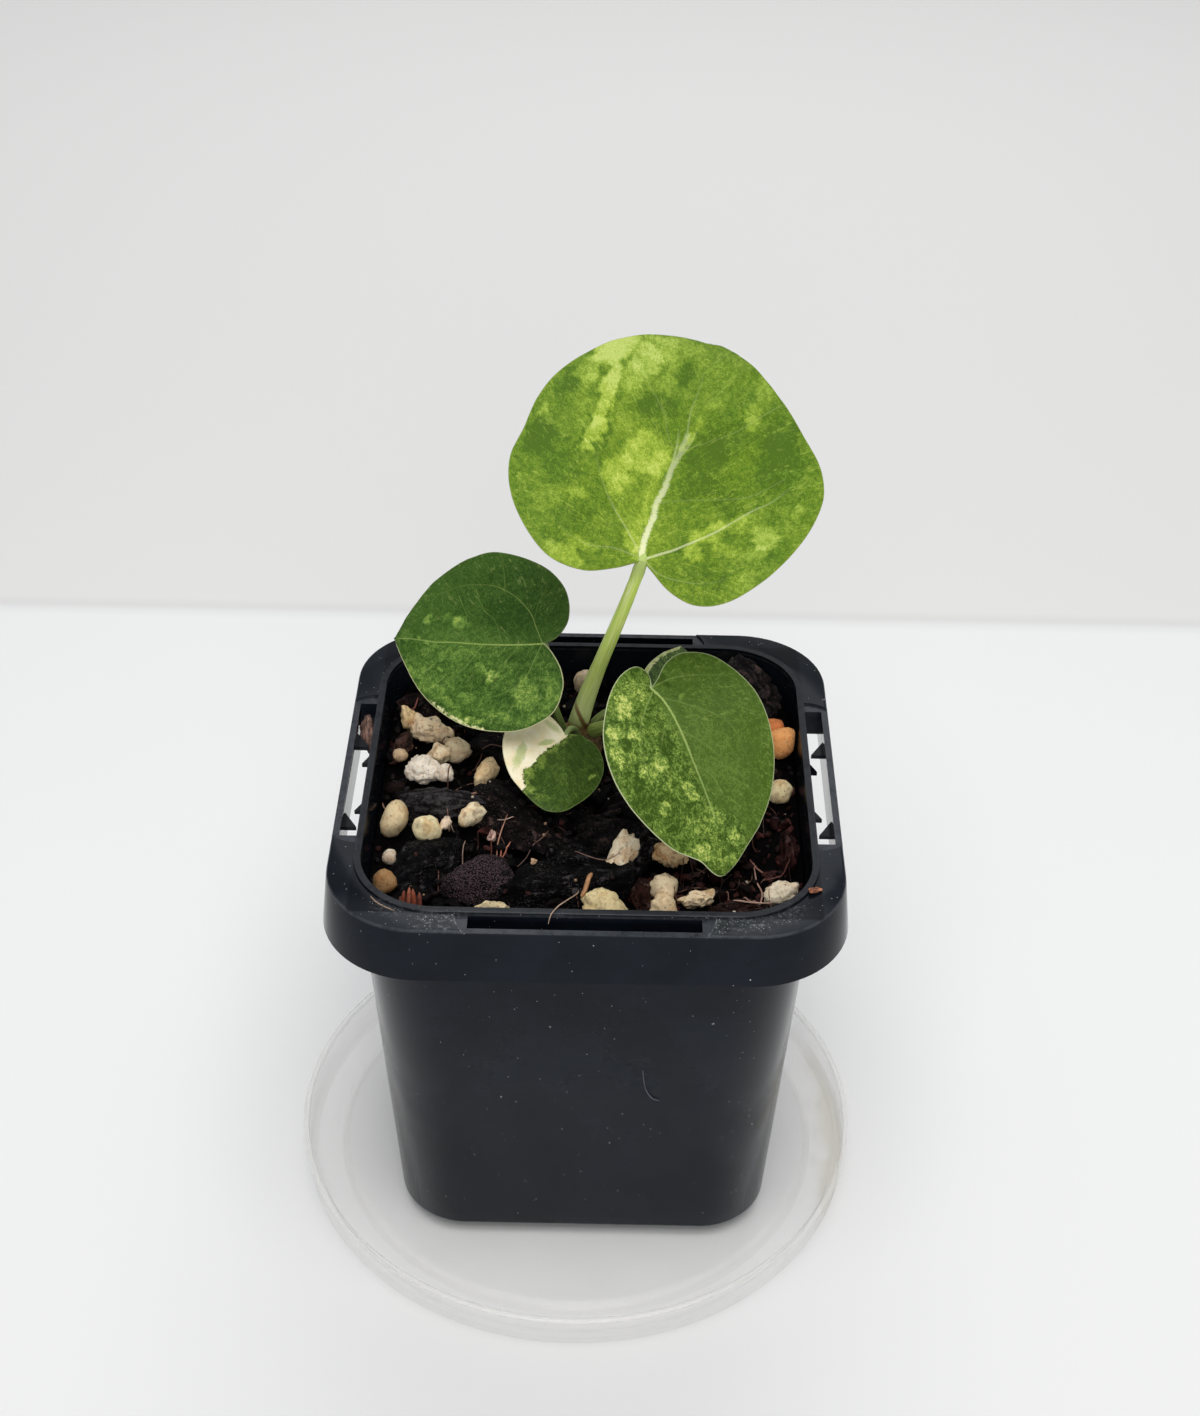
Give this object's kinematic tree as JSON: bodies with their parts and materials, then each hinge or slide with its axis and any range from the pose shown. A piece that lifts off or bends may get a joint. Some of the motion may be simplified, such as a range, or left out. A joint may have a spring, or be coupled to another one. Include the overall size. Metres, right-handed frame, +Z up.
{
  "type": "potted anthurium",
  "caption": "Young variegated anthurium with heart-shaped leaves on slender stalks, in a square black nursery pot of chunky mix on a round clear dish",
  "frame": {"origin": "on the surface the dish stands on, under the centre of the round dish", "axes": "+Z up, -Y to the pot's front, +X to the right; the pot's sides lie along X and Y"},
  "size_m": [0.1028, 0.1028, 0.1467],
  "materials": {
    "clear_dish": "translucent",
    "pot": "satin",
    "mix": "matte",
    "stem": "matte",
    "stalk": "satin",
    "leaf_lime": "satin",
    "leaf_green": "satin"
  },
  "bodies": {
    "root": {"drip_saucer": "clear_dish", "pot": "pot", "potting_mix": "mix", "stem": "stem", "petiole_upper": "stalk", "petiole_left": "stalk", "petiole_right": "stalk", "petiole_front": "stalk", "petiole_behind": "stalk", "leaf_upper": "leaf_lime", "leaf_left": "leaf_green", "leaf_right": "leaf_green", "leaf_front": "leaf_green", "leaf_behind": "leaf_green"}
  },
  "joints": []
}
